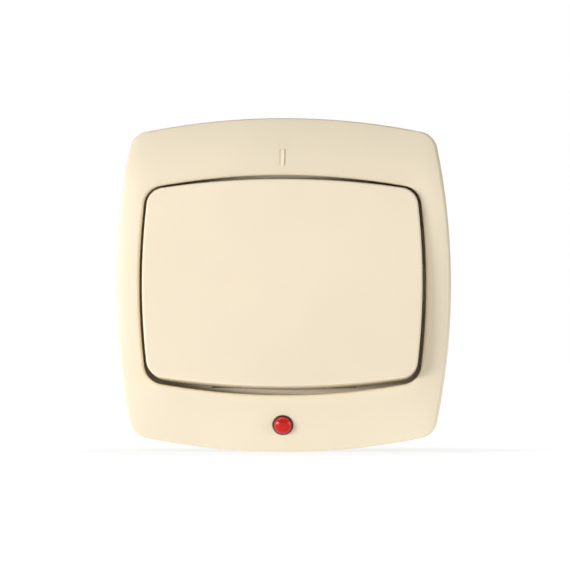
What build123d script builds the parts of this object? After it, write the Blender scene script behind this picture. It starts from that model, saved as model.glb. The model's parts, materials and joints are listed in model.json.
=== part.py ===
from build123d import *
import math
import os

os.makedirs("parts", exist_ok=True)

# One-gang illuminated rocker switch for a round wall box. All sizes are in millimetres.
# X runs to the right, Z up, and the front faces -Y. The wall is the plane Y = 0.
# A "height" is a distance in front of the wall, so a height below zero lies in the wall box.

# Front frame
frame_size = 82.0
bow_radius = 170.0
frame_corner = 5.0
frame_crown = 11.0
frame_draft = 0.6
frame_wall = 2.0
frame_edge_round = 0.6
barrel_run = 19.0
barrel_radius = 36.0
roll_run = 7.0
roll_radius = 20.0
side_border = 5.85
end_border = 14.1
opening_corner = 5.0
lip_round = 0.6
skirt_wall = 1.6
tray_back = 1.4
tray_thickness = 1.6
mark_width = 0.85
mark_length = 4.0
mark_raise = 0.2
mark_groove = 0.25
mark_groove_depth = 0.1
mark_inset = 9.7
frame_rib = 1.0
frame_rib_back = 1.6
top_rib_pitch = 16.0
low_rib_x = 24.0
screw_pad = 1.2

# Rocker
side_gap = 0.8
end_gap = 1.58
flare_side = -0.25
flare_end = 0.6
rocker_proud = 2.9
rocker_lift = 0.3
rocker_bow = 200.0
rim_gap = 0.95
rocker_wall = 1.8
rocker_corner = 4.4
rocker_crown_radius = 1200.0
rocker_edge_round = 0.45
rocker_rib = 1.2
rocker_rib_depth = 2.4
rocker_tilt = 2.4
pivot_height = 4.5

# Indicator
lens_inset = 6.7
lens_radius = 2.55
lens_dome = 1.5
lens_stand = 0.25
lens_flange = 0.75
lens_flange_thickness = 0.8
lamp_radius = 1.7
lamp_length = 10.0
lamp_gap = 0.3
resistor_radius = 1.2
resistor_length = 5.4
bare_wire_radius = 0.25
bare_wire_length = 1.0
lead_radius = 0.6
lead_bend = 1.5
lead_stub = 1.3
lead_side = 2.4
lead_skirt_gap = 0.6
lead_rise = 4.5
holder_margin = 3.0
holder_end = 1.0
clip_thickness = 1.2
clip_wall = 0.9
clip_wrap = 0.8
peg_radius = 1.1
peg_spacing = 9.0
peg_margin = 0.7

# Support plate
plate_thickness = 1.0
plate_side_margin = 5.5
plate_end_margin = 13.0
plate_corner = 6.0
tab_half_width = 7.0
tab_margin = 0.4
box_screw_spacing = 60.0
slot_width = 3.6
slot_length = 6.0
collar_depth = 1.5
collar_wall = 1.0
frame_screw_x = 26.0
frame_screw_z = 17.0

# Housing behind the plate
housing_half_x = 16.0
housing_half_z = 20.0
housing_depth = 20.0
housing_wall = 2.0
panel_depth = 0.5
panel_margin = 3.0
panel_foot = 9.5
panel_corner = 1.5
ejector_radius = 1.6
ejector_depth = 0.25
ejector_inset = 4.0
funnel = 0.8
case_groove_place = 12.5
case_groove_width = 0.6
case_groove_depth = 0.4
case_rib_width = 1.0
case_rib_height = 0.5
case_rib_pitch = 8.0
ear_half_width = 11.5
ear_length = 5.0
ear_thickness = 2.5
rivet_x = 8.0
rivet_inset = 2.5
rivet_radius = 1.2
rivet_bore = 0.7
rivet_head_radius = 2.0
rivet_head = 0.6

# Cover in front of the plate
cover_half_x = 17.5
cover_thickness = 1.4
cover_window_x = 5.4
cover_window_z = 6.4
plug_half_x = 13.8
plug_half_z = 18.2
post_start = 10.2
post_thickness = 2.8
post_radius = 3.0

# Carrier, plunger and spring
carrier_half_x = 8.0
carrier_half_z = 6.5
carrier_low = 3.4
carrier_high = 9.5
carrier_wall = 1.6
trunnion_radius = 1.5
socket_wall = 1.3
socket_low = 6.6
tube_radius = 3.3
tube_bore = 2.3
tube_end = 6.5
pocket_height = 3.0
plunger_radius = 2.25
plunger_nose = 1.4
plunger_shoulder = 1.2
plunger_pilot = 1.1
plunger_pilot_length = 1.6
spring_wire = 0.28
spring_radius = 1.75
spring_turns = 5

# Contact lever and strips
lever_depth = 11.5
lever_half_width = 2.4
lever_thickness = 1.0
lever_low = 11.2
lever_high = 5.0
lever_tilt = 9.0
lever_pin = 0.9
lever_pin_length = 1.8
contact_arm = 9.4
contact_radius = 1.6
contact_thickness = 0.8
contact_dome = 5.0
contact_seat = 0.85
strip_thickness = 0.8
strip_width = 6.4
contact_strip_height = 4.7
ear_strip_gap = 0.6
ear_strip_half = 2.0
terminal_x = 9.5
terminal_half_width = 3.5
tail_level = 12.0
tail_thickness = 1.0
tail_reach = 6.0
lug_width = 2.0
lug_reach = 4.5
terminal_screw_radius = 1.7
terminal_head_radius = 2.8
terminal_head = 2.0
washer_size = 6.4
washer_thickness = 1.2
wire_gap = 3.3
wire_hole_radius = 1.6

# Claws
claw_pin_x = 17.8
claw_pin_depth = 1.9
claw_pin_radius = 0.9
claw_knuckle = 1.6
claw_half_width = 4.2
claw_sheet = 1.2
claw_length = 16.6
claw_reach = 6.6
claw_tooth = 1.7
claw_teeth = 5
claw_tooth_depth = 4.0
claw_bevel = 5.0
claw_inner_gap = 0.2
lug_thickness = 1.6
lug_size = 3.6
claw_screw_x = 21.5
claw_screw_radius = 1.5
claw_head_radius = 2.7
claw_head = 2.0
claw_nut_width = 5.0
claw_nut_thickness = 2.0
claw_screw_tip = 0.6

# Frame screws
frame_screw_radius = 1.45
frame_screw_head = 2.8
recess_width = 0.8
recess_depth = 0.7
screw_protrusion = 2.0

# Clearances
fit = 0.05
running = 0.05
slide_gap = 0.1
free_gap = 0.3

# Values that follow from the ones above
barrel_half = frame_size / 2 - barrel_run
roll_half = frame_size / 2 - roll_run
plate_width = frame_size - 2 * plate_side_margin
plate_height = frame_size - 2 * plate_end_margin
opening_width = frame_size - 2 * side_border
opening_height = frame_size - 2 * end_border
tray_front = tray_back + tray_thickness
rocker_width = opening_width - 2 * side_gap
rocker_height = opening_height - 2 * end_gap
rocker_face = frame_crown + rocker_proud
rocker_reach = rocker_height / 2 + flare_end + rocker_lift
rocker_press = rocker_reach * math.sin(math.radians(rocker_tilt))
rim_rise = (tray_front + rim_gap + rocker_press - pivot_height) / math.cos(math.radians(rocker_tilt))
rocker_rim = pivot_height + rim_rise
rocker_depth = rocker_face - rocker_rim
lens_z = lens_inset - frame_size / 2
lens_slope = math.degrees(math.asin((-lens_z - barrel_half) / barrel_radius))
lamp_behind = frame_wall + lens_flange_thickness + lamp_gap + lamp_radius
lamp_radial = barrel_radius - lamp_behind
lamp_height = frame_crown - barrel_radius + lamp_radial * math.cos(math.radians(lens_slope))
lamp_z = -barrel_half - lamp_radial * math.sin(math.radians(lens_slope))
holder_front = lamp_height - lamp_radius - fit
tab_end = lamp_z - holder_margin - tab_margin
ear_edge = housing_half_z + ear_length
rivet_z = ear_edge - rivet_inset
cover_front = plate_thickness + cover_thickness
post_end = post_start + post_thickness
plunger_tip = lever_depth - lever_thickness / 2 - slide_gap
tail_bottom = tail_level + tail_thickness
resistor_start = lamp_length / 2 + bare_wire_length
resistor_end = resistor_start + resistor_length
lead_x = terminal_x + terminal_half_width - lug_width / 2
claw_nut_depth = claw_pin_depth + claw_length + slide_gap


def level(height):
    """Plane parallel to the wall, facing the room."""
    return Plane.XZ.offset(height)


def prism(sketch, low, high):
    """Solid on a sketch of X and Z, between two heights."""
    return extrude(level(low) * sketch, high - low)


def disc(x, z, radius):
    return Pos(x, z) * Circle(radius)


def area(x_low, x_high, z_low, z_high):
    return Pos((x_low + x_high) / 2, (z_low + z_high) / 2) * Rectangle(x_high - x_low, z_high - z_low)


def rod_x(height, z, radius, start, end):
    """Round bar along X."""
    return extrude(Plane.YZ.offset(start) * Pos(-height, z) * Circle(radius), end - start)


def rod_z(x, height, radius, start, end):
    """Round bar along Z."""
    return extrude(Plane.XY.offset(start) * Pos(x, -height) * Circle(radius), end - start)


def turn_x(shape, height, degrees):
    """Turn a shape about a line along X at Z = 0."""
    return Pos(0, -height, 0) * Rot(X=degrees) * Pos(0, height, 0) * shape


def bowed(width, height, corner, end_bow=bow_radius):
    """Rectangle with bowed sides and rounded corners."""
    shape = Pos(width / 2 - bow_radius, 0) * Circle(bow_radius)
    shape = shape & (Pos(bow_radius - width / 2, 0) * Circle(bow_radius))
    shape = shape & (Pos(0, height / 2 - end_bow) * Circle(end_bow))
    shape = shape & (Pos(0, end_bow - height / 2) * Circle(end_bow))
    return fillet(shape.vertices(), corner)


def crown_block(inset):
    """Everything behind the frame's front surface, moved back by an inset."""
    top = frame_crown - inset
    barrel = barrel_radius - inset
    roll = roll_radius - inset
    sweep_angle = math.radians(50)
    reach = roll_half + roll * math.sin(sweep_angle)
    fall = top - roll * (1 - math.cos(sweep_angle))
    half_reach = roll_half + roll * math.sin(sweep_angle / 2)
    half_fall = top - roll * (1 - math.cos(sweep_angle / 2))
    floor = top - barrel / 2
    edges = [
        Line((-roll_half, -top), (roll_half, -top)),
        ThreePointArc((roll_half, -top), (half_reach, -half_fall), (reach, -fall)),
        Polyline((reach, -fall), (reach, -floor), (-reach, -floor), (-reach, -fall)),
        ThreePointArc((-reach, -fall), (-half_reach, -half_fall), (-roll_half, -top)),
    ]
    profile = make_face(edges)
    shape = extrude(Plane.XY.offset(-barrel_half) * profile, 2 * barrel_half)
    for side in (-1, 1):
        axis = Axis((0, barrel - top, side * barrel_half), (-side, 0, 0))
        shape += revolve(Plane.XY.offset(side * barrel_half) * profile, axis, 60)
    return shape


def lens_plane():
    """Plane on the frame's surface at the lens, facing out."""
    slope = math.radians(lens_slope)
    out = Vector(0, -math.cos(slope), -math.sin(slope))
    centre = Vector(0, barrel_radius - frame_crown, -barrel_half)
    return Plane(origin=centre + out * barrel_radius, x_dir=(1, 0, 0), z_dir=out)


def lens_rod(radius, low, high):
    """Round bar along the lens axis, measured from the frame's surface."""
    return extrude(lens_plane().offset(low) * Circle(radius), high - low)


def frame_screw_places():
    return [(-frame_screw_x, frame_screw_z), (frame_screw_x, -frame_screw_z)]


def tray_window():
    """Space in the tray for the cover, the claw screws and the wall box screws."""
    window = area(-cover_half_x, cover_half_x, -ear_edge, ear_edge)
    window = offset(window, free_gap, kind=Kind.INTERSECTION)
    reach = box_screw_spacing / 2 + slot_length / 2 + 1.5
    half = max(claw_head_radius, slot_width) + 1.0
    return window + area(-reach, reach, -half, half)


def make_front_frame():
    outline = bowed(frame_size, frame_size, frame_corner)
    body = extrude(level(0) * outline, frame_crown + 2, taper=frame_draft) & crown_block(0)
    rim = [e for e in body.edges() if e.center().Y < -0.5 and on_rim(e)]
    body = fillet(rim, frame_edge_round)
    opening = bowed(opening_width, opening_height, opening_corner)
    body -= prism(opening, tray_front, frame_crown + 3)
    body = fillet(lip_edges(body), lip_round)
    inner_size = frame_size - 2 * frame_wall
    inside = bowed(inner_size, inner_size, frame_corner - frame_wall / 2)
    hollow = extrude(level(0) * inside, frame_crown + 2, taper=frame_draft) & crown_block(frame_wall)
    skirt_width = opening_width + 2 * skirt_wall
    skirt_height = opening_height + 2 * skirt_wall
    skirt = prism(bowed(skirt_width, skirt_height, opening_corner + skirt_wall), tray_back, frame_crown + 3)
    body -= hollow - skirt - frame_ribs()
    body -= prism(tray_window(), 0, tray_front + 1)
    for x, z in frame_screw_places():
        body += prism(disc(x, z, frame_screw_head + screw_pad), plate_thickness, tray_back)
        body -= prism(disc(x, z, frame_screw_radius + free_gap), 0, tray_front + 1)
        body -= screw_head(x, z, fit)
    body -= lens_rod(lens_radius + fit, -2 * frame_wall, frame_wall)
    body -= lens_rod(lens_radius + lens_flange + slide_gap, -2 * frame_wall, -frame_wall)
    groove = mark_prism(mark_width + 2 * mark_groove)
    body -= groove - barrel_drum(-mark_groove_depth)
    return body + (mark_prism(mark_width) & barrel_drum(mark_raise))


def mark_prism(width):
    """Upright block on the outline of the bar at the top of the frame."""
    outline = area(-width / 2, width / 2, -mark_length / 2, mark_length / 2)
    outline = Pos(0, frame_size / 2 - mark_inset) * fillet(outline.vertices(), mark_width / 3)
    return prism(outline, frame_crown - 2 * frame_wall, frame_crown + frame_wall)


def barrel_drum(rise):
    """Drum whose skin runs along the frame's upper front, raised by an amount."""
    axis_height = frame_crown - barrel_radius
    return rod_x(axis_height, barrel_half, barrel_radius + rise, -2 * mark_width, 2 * mark_width)


def frame_ribs():
    """Stiffening ribs in the hollow above and below the opening."""
    reach = frame_size / 2
    lines = []
    for index in range(4):
        lines.append(((index - 1.5) * top_rib_pitch, opening_height / 2, reach))
    for x in (-low_rib_x, low_rib_x):
        lines.append((x, -reach, -opening_height / 2))
    ribs = [area(x - frame_rib / 2, x + frame_rib / 2, low, high) for x, low, high in lines]
    return prism(Sketch() + ribs, frame_rib_back, frame_crown)


def on_rim(edge):
    """True for an edge where the frame's front meets its outer side."""
    middle = edge.center()
    if edge.bounding_box().size.Y < 1e-6 and abs(middle.Y) < 1e-6:
        return False
    near = frame_size / 2 - 2.5
    return abs(middle.X) > near or abs(middle.Z) > near


def lip_edges(body):
    """Edges where the opening meets the frame's front."""
    found = []
    for edge in body.edges():
        middle = edge.center()
        inside = abs(middle.X) < opening_width / 2 + 0.1 and abs(middle.Z) < opening_height / 2 + 0.1
        if inside and middle.Y < -tray_front - 2 and edge.bounding_box().size.Y < 3:
            found.append(edge)
    return found


def screw_head(x, z, gap):
    """Countersunk head, sunk in the tray."""
    low = Plane.XZ.offset(tray_front - frame_screw_head + frame_screw_radius)
    neck = low * disc(x, z, frame_screw_radius + gap)
    return loft([neck, level(tray_front) * disc(x, z, frame_screw_head + gap)])


def make_frame_screws():
    screws = []
    for x, z in frame_screw_places():
        screw = screw_head(x, z, 0)
        tip = -collar_depth - screw_protrusion
        screw += prism(disc(x, z, frame_screw_radius), tip, tray_front - recess_depth)
        span = 2.2 * frame_screw_radius
        cross = Rectangle(span, recess_width) + Rectangle(recess_width, span)
        screw -= prism(Pos(x, z) * cross, tray_front - recess_depth, tray_front + 1)
        screws.append(screw)
    return Compound(children=screws)


def rocker_outline(height, inset):
    """Rocker outline at a height; it widens from the face to the rim."""
    share = (rocker_face - height) / rocker_depth
    width = rocker_width + 2 * flare_side * share - 2 * inset
    tall = rocker_height + 2 * flare_end * share - 2 * inset
    outline = bowed(width, tall, rocker_corner - inset / 2, rocker_bow)
    return level(height) * (Pos(0, rocker_lift) * outline)


def rocker_ball(inset):
    """Ball whose front is the rocker's slightly domed face."""
    return Pos(0, rocker_crown_radius - rocker_face, 0) * Sphere(rocker_crown_radius - inset)


def make_rocker():
    body = loft([rocker_outline(rocker_rim, 0), rocker_outline(rocker_face, 0)], ruled=True)
    body = body & rocker_ball(0)
    front = [e for e in body.edges() if e.center().Y < 2.5 - rocker_face]
    body = fillet([e for e in front if e.bounding_box().size.Y < 1.5], rocker_edge_round)
    rim = rocker_outline(rocker_rim - 0.01, rocker_wall)
    inner = loft([rim, rocker_outline(rocker_face, rocker_wall)], ruled=True) & rocker_ball(rocker_wall)
    body -= inner
    ceiling = rocker_face - rocker_wall
    ribs = None
    for place in (-rocker_width / 3, -rocker_width / 6, rocker_width / 6, rocker_width / 3):
        rib = area(place - rocker_rib / 2, place + rocker_rib / 2, -rocker_height, rocker_height)
        ribs = rib if ribs is None else ribs + rib
    for place in (-rocker_height / 4, rocker_height / 4):
        ribs += area(-rocker_width, rocker_width, place - rocker_rib / 2, place + rocker_rib / 2)
    body += prism(ribs, ceiling - rocker_rib_depth, rocker_face) & inner
    half_x = carrier_half_x + fit
    half_z = carrier_half_z + fit
    socket = area(-half_x - socket_wall, half_x + socket_wall, -half_z - socket_wall, half_z + socket_wall)
    body += prism(socket, socket_low, rocker_face) & inner
    body -= prism(area(-half_x, half_x, -half_z, half_z), 0, ceiling - 0.5)
    return body


def make_indicator_lens():
    ball = (lens_radius ** 2 + lens_dome ** 2) / (2 * lens_dome)
    lens = lens_rod(lens_radius, -frame_wall, lens_stand + lens_dome)
    lens = lens & (lens_plane() * Pos(0, 0, lens_stand + lens_dome - ball) * Sphere(ball))
    lens += lens_rod(lens_radius, -frame_wall, lens_stand)
    lens += lens_rod(lens_radius + lens_flange, -frame_wall - lens_flange_thickness, -frame_wall)
    return lens


def peg_places():
    z = lamp_z - holder_margin + peg_radius + peg_margin
    return [(-peg_spacing / 2, z), (peg_spacing / 2, z)]


def make_support_plate():
    outline = fillet(Rectangle(plate_width, plate_height).vertices(), plate_corner)
    tab = area(-tab_half_width, tab_half_width, tab_end, 0)
    plate = prism(outline + tab, 0, plate_thickness)
    window = area(-plug_half_x, plug_half_x, -plug_half_z, plug_half_z)
    plate -= prism(offset(window, slide_gap, kind=Kind.INTERSECTION), -1, plate_thickness + 1)
    for side in (-1, 1):
        slot = Pos(side * box_screw_spacing / 2, 0) * SlotOverall(slot_length, slot_width)
        plate -= prism(slot, -1, plate_thickness + 1)
        plate -= prism(disc(side * claw_screw_x, 0, claw_screw_radius + free_gap), -1, plate_thickness + 1)
    for x, z in rivet_places():
        plate -= prism(disc(x, z, rivet_radius + fit), -1, plate_thickness + 1)
    for x, z in peg_places():
        plate -= prism(disc(x, z, peg_radius + fit), -1, plate_thickness + 1)
    for x, z in frame_screw_places():
        plate += prism(disc(x, z, frame_screw_radius + collar_wall), -collar_depth, 0)
        plate -= prism(disc(x, z, frame_screw_radius + fit), -collar_depth - 1, plate_thickness + 1)
    return plate


def rivet_places():
    return [(x, z) for x in (-rivet_x, rivet_x) for z in (-rivet_z, rivet_z)]


def make_switch_housing():
    outside = area(-housing_half_x, housing_half_x, -housing_half_z, housing_half_z)
    housing = prism(outside, -housing_depth, 0)
    edges = housing.edges().filter_by(Axis.Y) + housing.faces().sort_by(Axis.Y)[-1].edges()
    housing = fillet(edges, 1.0)
    housing = housing - case_groove() + case_ribs()
    half_x = housing_half_x - housing_wall
    half_z = housing_half_z - housing_wall
    back = -housing_depth + housing_wall
    housing -= prism(area(-half_x, half_x, -half_z, half_z), back, 1)
    for sketch in (load_plate(), line_plate()):
        housing += prism(sketch, back, -strip_back())
    for side in (-1, 1):
        low = min(side * housing_half_z, side * ear_edge)
        ear = prism(area(-ear_half_width, ear_half_width, low, low + ear_length), -ear_thickness, 0)
        housing += ear
        below = -housing_half_z - 1
        access = terminal_head_radius + free_gap
        housing -= rod_z(side * terminal_x, -screw_depth(), access, below, -half_z + 1)
        housing -= rod_z(side * lead_x, -lead_depth(), lead_radius + slide_gap, below, -half_z + 1)
        housing -= prism(disc(side * terminal_x, wire_z(), wire_hole_radius), -housing_depth - 1, back + 1)
        for end in (-1, 1):
            start = end * (claw_half_width + slide_gap)
            stop = start + end * lug_thickness
            low = min(start, stop)
            high = max(start, stop)
            near = side * half_x
            far = side * (half_x + housing_wall + lug_size)
            lug = prism(area(min(near, far), max(near, far), low, high), -claw_pin_depth - lug_size / 2, 0)
            lug -= prism(area(-half_x, half_x, -half_z, half_z), -housing_depth, 1)
            bore = claw_pin_radius + running
            housing += lug - rod_z(side * claw_pin_x, -claw_pin_depth, bore, low - 1, high + 1)
    for x, z in rivet_places():
        housing -= prism(disc(x, z, rivet_radius + fit), -ear_thickness - 1, 1)
    return housing - back_relief()


def case_groove():
    """Shallow groove round the case where its mould halves met."""
    outer = area(-housing_half_x - 1, housing_half_x + 1, -housing_half_z - 1, housing_half_z + 1)
    inner_x = housing_half_x - case_groove_depth
    inner_z = housing_half_z - case_groove_depth
    ring = outer - area(-inner_x, inner_x, -inner_z, inner_z)
    return prism(ring, -case_groove_place - case_groove_width, -case_groove_place)


def case_ribs():
    """Low ribs along the upper side of the case."""
    top = housing_half_z + case_rib_height
    ribs = None
    for step in (-1, 0, 1):
        middle = step * case_rib_pitch
        rib = area(middle - case_rib_width / 2, middle + case_rib_width / 2, housing_half_z - 1, top)
        rib = prism(rib, -housing_depth + 2 * housing_wall, -ear_thickness)
        ribs = rib if ribs is None else ribs + rib
    return ribs


def back_relief():
    """Sunk panel, ejector marks and wire funnels in the back of the case."""
    half = housing_half_x - panel_margin
    panel = area(-half, half, -panel_foot, housing_half_z - panel_margin)
    panel = fillet(panel.vertices(), panel_corner)
    back = -housing_depth
    relief = prism(panel, back - 1, back + panel_depth)
    mark_x = half - ejector_inset
    mark_top = housing_half_z - panel_margin - ejector_inset
    for side in (-1, 1):
        for z in (ejector_inset - panel_foot, mark_top):
            mark = disc(side * mark_x, z, ejector_radius)
            relief += prism(mark, back, back + panel_depth + ejector_depth)
        wide = level(back) * disc(side * terminal_x, wire_z(), wire_hole_radius + funnel)
        narrow = level(back + funnel) * disc(side * terminal_x, wire_z(), wire_hole_radius)
        relief += loft([wide, narrow], ruled=True)
    return relief


def make_housing_cover():
    flange = area(-cover_half_x, cover_half_x, -ear_edge, ear_edge)
    flange = fillet(flange.vertices(), 2.0)
    cover = prism(flange, plate_thickness, cover_front)
    cover += prism(area(-plug_half_x, plug_half_x, -plug_half_z, plug_half_z), 0, plate_thickness)
    window = area(-cover_window_x, cover_window_x, -cover_window_z, cover_window_z)
    cover -= prism(window, -1, cover_front + 1)
    for side in (-1, 1):
        start = min(side * post_start, side * post_end)
        post = rod_x(pivot_height, 0, post_radius, start, start + post_thickness)
        foot = area(start, start + post_thickness, -post_radius, post_radius)
        post += prism(foot, plate_thickness, pivot_height)
        post -= rod_x(pivot_height, 0, trunnion_radius + running, start - 1, start + post_thickness + 1)
        cover += post
    for x, z in rivet_places():
        cover -= prism(disc(x, z, rivet_radius + fit), -1, cover_front + 1)
    return cover


def make_housing_rivets():
    rivets = []
    for x, z in rivet_places():
        rivet = prism(disc(x, z, rivet_radius), -ear_thickness, cover_front)
        rivet += prism(disc(x, z, rivet_head_radius), cover_front, cover_front + rivet_head)
        rivet += prism(disc(x, z, rivet_head_radius), -ear_thickness - rivet_head, -ear_thickness)
        rivet -= prism(disc(x, z, rivet_bore), -ear_thickness - 2, cover_front + 2)
        rivets.append(rivet)
    return Compound(children=rivets)


def make_rocker_carrier():
    outside = area(-carrier_half_x, carrier_half_x, -carrier_half_z, carrier_half_z)
    block = prism(outside, carrier_low, carrier_high)
    wall_x = carrier_half_x - carrier_wall
    wall_z = carrier_half_z - carrier_wall
    floor = pocket_height + carrier_wall + 1.4
    block -= prism(area(-wall_x, wall_x, -wall_z, wall_z), floor, carrier_high + 1)
    block += rod_x(pivot_height, 0, trunnion_radius, -post_end - 0.2, -carrier_half_x + 1)
    block += rod_x(pivot_height, 0, trunnion_radius, carrier_half_x - 1, post_end + 0.2)
    block += prism(Circle(tube_radius), -tube_end, carrier_low + 1)
    block -= prism(Circle(tube_bore), -tube_end - 1, pocket_height)
    return block


def make_plunger():
    nose = plunger_tip - plunger_nose
    outline = Polyline(
        (0, -plunger_shoulder + plunger_pilot_length),
        (plunger_pilot, -plunger_shoulder + plunger_pilot_length),
        (plunger_pilot, -plunger_shoulder),
        (plunger_radius, -plunger_shoulder),
        (plunger_radius, -tube_end - 0.6),
        (plunger_nose, -nose),
    )
    arc_end = plunger_nose * math.sin(math.radians(45))
    tip = ThreePointArc((plunger_nose, -nose), (arc_end, -nose - arc_end), (0, -plunger_tip))
    close = Line((0, -plunger_tip), (0, -plunger_shoulder + plunger_pilot_length))
    face = make_face([outline, tip, close])
    return revolve(Plane(origin=(0, 0, 0), x_dir=(1, 0, 0), z_dir=(0, 0, -1)) * face, Axis.Y, 360)


def make_plunger_spring():
    length = pocket_height + plunger_shoulder - 2 * spring_wire - 2 * fit
    start = Vector(0, -pocket_height + spring_wire + fit, 0)
    path = Helix(length / spring_turns, length, spring_radius, center=start, direction=(0, 1, 0))
    section = Plane(origin=path @ 0, z_dir=path % 0) * Circle(spring_wire)
    return sweep(section, path)


def lever_turn(shape):
    return turn_x(shape, -lever_depth, lever_tilt)


def make_contact_lever():
    half = lever_thickness / 2
    bar = area(-lever_half_width, lever_half_width, -lever_low, lever_high)
    lever = prism(fillet(bar.vertices(), 1.0), -lever_depth - half, -lever_depth + half)
    for side in (-1, 1):
        start = min(side * lever_half_width, side * (lever_half_width + lever_pin_length))
        lever += rod_x(-lever_depth, 0, lever_pin, start, start + lever_pin_length)
    return lever_turn(lever)


def make_moving_contact():
    high = -lever_depth - lever_thickness / 2
    return lever_turn(prism(disc(0, -contact_arm, contact_radius), high - contact_thickness, high))


def contact_point():
    """Depth and Z of the moving contact's middle when closed."""
    angle = math.radians(lever_tilt)
    back = lever_thickness / 2 + contact_thickness
    depth = lever_depth + back * math.cos(angle) + contact_arm * math.sin(angle)
    return depth, back * math.sin(angle) - contact_arm * math.cos(angle)


def strip_face():
    """Depth of the strips' front."""
    return contact_point()[0] + contact_seat


def strip_back():
    return strip_face() + strip_thickness


def make_fixed_contact():
    depth, z = contact_point()
    angle = math.radians(lever_tilt)
    reach = contact_dome + slide_gap
    ball_depth = depth + reach * math.cos(angle)
    ball_z = z + reach * math.sin(angle)
    button = prism(disc(0, z + 0.4, contact_radius), -strip_face(), -depth + 1)
    return button & (Pos(0, ball_depth, ball_z) * Sphere(contact_dome))


def load_plate():
    z = contact_point()[1] + 0.4
    shape = area(-lever_half_width, terminal_x, z - contact_strip_height / 2, z + contact_strip_height / 2)
    end = terminal_x + terminal_half_width
    return shape + area(terminal_x - terminal_half_width, end, -tail_bottom, z + contact_strip_height / 2)


def line_plate():
    ears = lever_half_width + ear_strip_gap + strip_thickness
    shape = area(-terminal_x, ears, -strip_width / 2, strip_width / 2)
    end = terminal_x + terminal_half_width
    return shape + area(-end, -end + 2 * terminal_half_width, -tail_bottom, strip_width / 2)


def screw_depth():
    """Depth of the terminal screws."""
    return strip_face() - tail_reach / 2


def lead_depth():
    return strip_face() - tail_reach - lug_reach + lug_width / 2


def wire_z():
    return -tail_bottom - wire_gap / 2


def strip_tail(side):
    """Terminal tail with a tapped hole and a lug for the lamp lead."""
    low = side * terminal_x - terminal_half_width
    high = side * terminal_x + terminal_half_width
    tail = prism(area(low, high, -tail_bottom, -tail_level), -strip_back(), -strip_face() + tail_reach)
    lug = area(side * lead_x - lug_width / 2, side * lead_x + lug_width / 2, -tail_bottom, -tail_level)
    tail += prism(lug, -strip_face(), -strip_face() + tail_reach + lug_reach)
    tapped = terminal_screw_radius + fit
    return tail - rod_z(side * terminal_x, -screw_depth(), tapped, -tail_bottom - 1, -tail_level + 1)


def make_load_strip():
    return prism(load_plate(), -strip_back(), -strip_face()) + strip_tail(1)


def make_line_strip():
    strip = prism(line_plate(), -strip_back(), -strip_face()) + strip_tail(-1)
    start = lever_half_width + ear_strip_gap
    for side in (-1, 1):
        low = min(side * start, side * (start + strip_thickness))
        ear = area(low, low + strip_thickness, -ear_strip_half, ear_strip_half)
        ear = prism(ear, -strip_face(), -lever_depth + lever_pin)
        ear -= rod_x(-lever_depth, 0, lever_pin + running, low - 1, low + strip_thickness + 1)
        notch = area(low - 1, low + strip_thickness + 1, -lever_pin - running, lever_pin + running)
        strip += ear - prism(notch, -lever_depth, -lever_depth + 3)
    return strip


def make_terminal_washers():
    washers = []
    top = -tail_bottom - wire_gap
    for side in (-1, 1):
        plate = Pos(side * terminal_x, screw_depth()) * Rectangle(washer_size, washer_size)
        hole = Pos(side * terminal_x, screw_depth()) * Circle(terminal_screw_radius + slide_gap)
        washers.append(extrude(Plane.XY.offset(top - washer_thickness) * (plate - hole), washer_thickness))
    return Compound(children=washers)


def make_terminal_screws():
    screws = []
    seat = -tail_bottom - wire_gap - washer_thickness
    for side in (-1, 1):
        x = side * terminal_x
        screw = rod_z(x, -screw_depth(), terminal_screw_radius, seat, -tail_level + 1)
        screw += rod_z(x, -screw_depth(), terminal_head_radius, seat - terminal_head, seat)
        slot = Pos(x, screw_depth()) * Rectangle(3 * terminal_head_radius, recess_width)
        screw -= extrude(Plane.XY.offset(seat - terminal_head) * slot, recess_depth)
        screws.append(screw)
    return Compound(children=screws)


def make_right_claw():
    """Channel of bent sheet with a toothed end; it is open towards the housing."""
    inner = claw_pin_x - claw_knuckle + claw_inner_gap
    rear = claw_pin_depth + claw_length
    outer = claw_pin_x + claw_reach
    tip = outer + claw_tooth
    profile = Polyline(
        (inner, claw_pin_depth), (inner, rear - claw_bevel), (claw_pin_x, rear), (tip, rear),
        (outer, rear - claw_tooth_depth), (claw_pin_x + claw_knuckle, claw_pin_depth), close=True)
    shape = make_face(profile) + Pos(claw_pin_x, claw_pin_depth) * Circle(claw_knuckle)
    claw = extrude(Plane.XY.offset(-claw_half_width) * shape, 2 * claw_half_width)
    throat = claw_half_width - claw_sheet
    bay = Pos((outer - claw_sheet) / 2, rear / 2) * Rectangle(outer - claw_sheet, 2 * rear)
    claw -= extrude(Plane.XY.offset(-throat) * bay, 2 * throat)
    pitch = 2 * claw_half_width / claw_teeth
    for index in range(claw_teeth + 1):
        z = -claw_half_width + index * pitch
        cut = Polyline((tip + 0.1, z - pitch / 2), (tip + 0.1, z + pitch / 2), (outer + 0.2, z), close=True)
        claw -= extrude(Plane.XZ.offset(-rear - claw_tooth_depth) * make_face(cut), 3 * claw_tooth_depth)
    pin = claw_half_width + slide_gap + lug_thickness
    for side in (-1, 1):
        start = min(side * throat, side * pin)
        claw += rod_z(claw_pin_x, -claw_pin_depth, claw_pin_radius, start, start + pin - throat)
    return claw


def mirror_left(shape):
    return mirror(shape, about=Plane.YZ)


def make_claw_screws():
    screws = []
    tip = claw_nut_depth + claw_nut_thickness + claw_screw_tip
    for side in (-1, 1):
        x = side * claw_screw_x
        screw = prism(disc(x, 0, claw_screw_radius), -tip, plate_thickness)
        screw += prism(disc(x, 0, claw_head_radius), plate_thickness, plate_thickness + claw_head)
        slot = Pos(x, 0) * Rectangle(3 * claw_head_radius, recess_width)
        top = plate_thickness + claw_head
        screw -= prism(slot, top - recess_depth, top + 1)
        screws.append(screw)
    return Compound(children=screws)


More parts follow.
